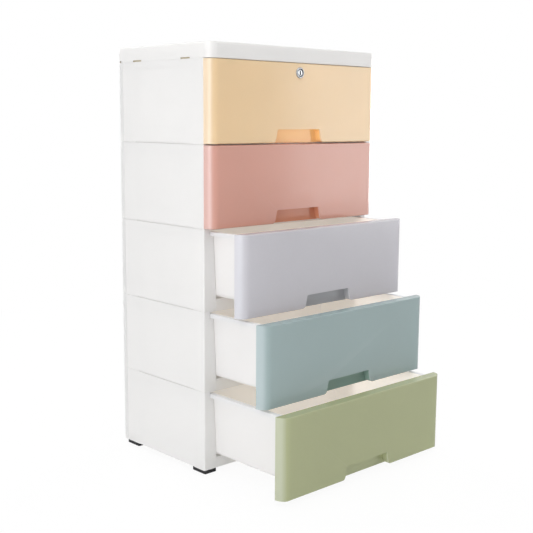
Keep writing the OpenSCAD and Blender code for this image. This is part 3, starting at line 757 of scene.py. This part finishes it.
# %% [markdown]
# ## Floor and light
# The photograph is a catalogue picture on pure white, lit by broad soft lamps. The strongest
# stands level with the tower on the left, so the casing's side and the rounded left corner of
# each front are the brightest. A second is high up on the same side, a third in front on the
# right, and a large one hangs above. Three more light the right side and the rear: they don't
# touch what the photograph shows, but they shine through the walls into the drawers and let the
# other sides be seen. The world and the floor show white to the camera, to reflections and
# through clear things, while they light the object at a plain level.

# %% White floor
def seen_directly(tree):
    """1 for rays from the camera, from a reflection or through something clear."""
    path = add(tree, "ShaderNodeLightPath").outputs
    most = path["Is Camera Ray"]
    for name in ("Is Glossy Ray", "Is Transmission Ray"):
        most = reckon(tree, "MAXIMUM", most, path[name])
    return most


SHADOW_FADE = 0.5, 1.6  # metres from the object's middle
FLOOR_TONE, HALF_FLOOR = (0.9, 0.9, 0.9, 1), 8.0


def floor_finish(near, far):
    """A pale floor that shows white. The share of its brightness that no shadow dims is near
    under the object and far where the shadow's fade ends."""
    made, tree, shader = material("pale_floor")
    shader.inputs["Base Color"].default_value = FLOOR_TONE
    shader.inputs["Roughness"].default_value = 0.8
    glow = add(tree, "ShaderNodeEmission", Color=(1, 1, 1, 1), Strength=1.0)
    away = add(tree, "ShaderNodeVectorMath", operation="LENGTH",
               Vector=add(tree, "ShaderNodeTexCoord").outputs["Object"])
    share = ramp(tree, away.outputs["Value"], *SHADOW_FADE, near, far)
    surface(tree, mixed(tree, product(tree, seen_directly(tree), share), shader, glow))
    return made


corners = [(x * HALF_FLOOR, y * HALF_FLOOR, 0) for x, y in ((-1, -1), (1, -1), (1, 1), (-1, 1))]
floor_mesh = bpy.data.meshes.new("floor")
floor_mesh.from_pydata(corners, [], [(0, 1, 2, 3)])
floor = piece("floor", floor_mesh, floor_finish(0.93, 1.0))

# %% World
AMBIENT = 0.06
world = bpy.data.worlds.new("white_studio")
bpy.context.scene.world = world
world.use_nodes = True
sky = world.node_tree
sky.nodes.clear()
dim = add(sky, "ShaderNodeBackground", Color=(1, 1, 1, 1), Strength=AMBIENT)
white = add(sky, "ShaderNodeBackground", Color=(1, 1, 1, 1), Strength=1.0)
add(sky, "ShaderNodeOutputWorld", Surface=mixed(sky, seen_directly(sky), dim, white))

# %% Lamps
AIM = Vector((0, 0, 0.45))
LAMPS = {  # place and side in metres, and watts
    "left_lamp": ((-3.2, -1.3, 0.9), 2.2, 63),
    "high_left_lamp": ((-1.8, -1.2, 2.8), 2.0, 24),
    "front_lamp": ((3.2, -2.2, 1.0), 1.8, 41),
    "top_lamp": ((-0.2, -0.6, 3.4), 2.6, 54),
    "right_lamp": ((3.2, 0.5, 1.2), 2.0, 62),
    "rear_lamp": ((0.3, 3.4, 1.5), 2.2, 60),
    "rear_left_lamp": ((-2.9, 1.4, 1.6), 2.0, 12),
}
for name, (place, side, watts) in LAMPS.items():
    light = bpy.data.lights.new(name, "AREA")
    light.shape, light.size, light.energy = "SQUARE", side, watts
    lamp = bpy.data.objects.new(name, light)
    lamp.location = place
    lamp.rotation_euler = (AIM - Vector(place)).to_track_quat("-Z", "Y").to_euler()
    bpy.context.scene.collection.objects.link(lamp)
print("lamps:", len(LAMPS), "with", sum(watts for _, _, watts in LAMPS.values()), "watts in all")

# %% [markdown]
# ## Camera
# The camera's place and lens come from corners measured on the photograph and matched to the
# model's own sizes, so the picture has its viewing angle. The light inside the drawers has gone
# through walls and from face to face many times, so it needs more bounces than usual.

# %% Camera at the photograph's viewing angle
AZIMUTH, ELEVATION, ROLL = (math.radians(v) for v in (-43.2314, 8.8355, 0.3825))
TARGET = Vector((-0.0686, -0.1375, 0.4074))
DISTANCE = 1.9619
FOCAL_IN_WIDTHS = 955.27 / 533
BOUNCES, ALL_BOUNCES = 16, 24

back = Vector((math.sin(AZIMUTH) * math.cos(ELEVATION), -math.cos(AZIMUTH) * math.cos(ELEVATION),
               math.sin(ELEVATION)))
camera_data = bpy.data.cameras.new("camera")
camera_data.sensor_width = 36.0
camera_data.lens = FOCAL_IN_WIDTHS * camera_data.sensor_width
camera = bpy.data.objects.new("camera", camera_data)
bpy.context.scene.collection.objects.link(camera)
turn = (-back).to_track_quat("-Z", "Y").to_matrix() @ Matrix.Rotation(ROLL, 3, "Z")
camera.matrix_world = Matrix.Translation(TARGET + back * DISTANCE) @ turn.to_4x4()
bpy.context.scene.camera = camera
bpy.context.scene.view_settings.view_transform = "Standard"
bpy.context.scene.cycles.diffuse_bounces = BOUNCES
bpy.context.scene.cycles.transmission_bounces = BOUNCES
bpy.context.scene.cycles.max_bounces = ALL_BOUNCES
print("camera at", [round(v, 3) for v in camera.location], "lens", round(camera_data.lens, 1))
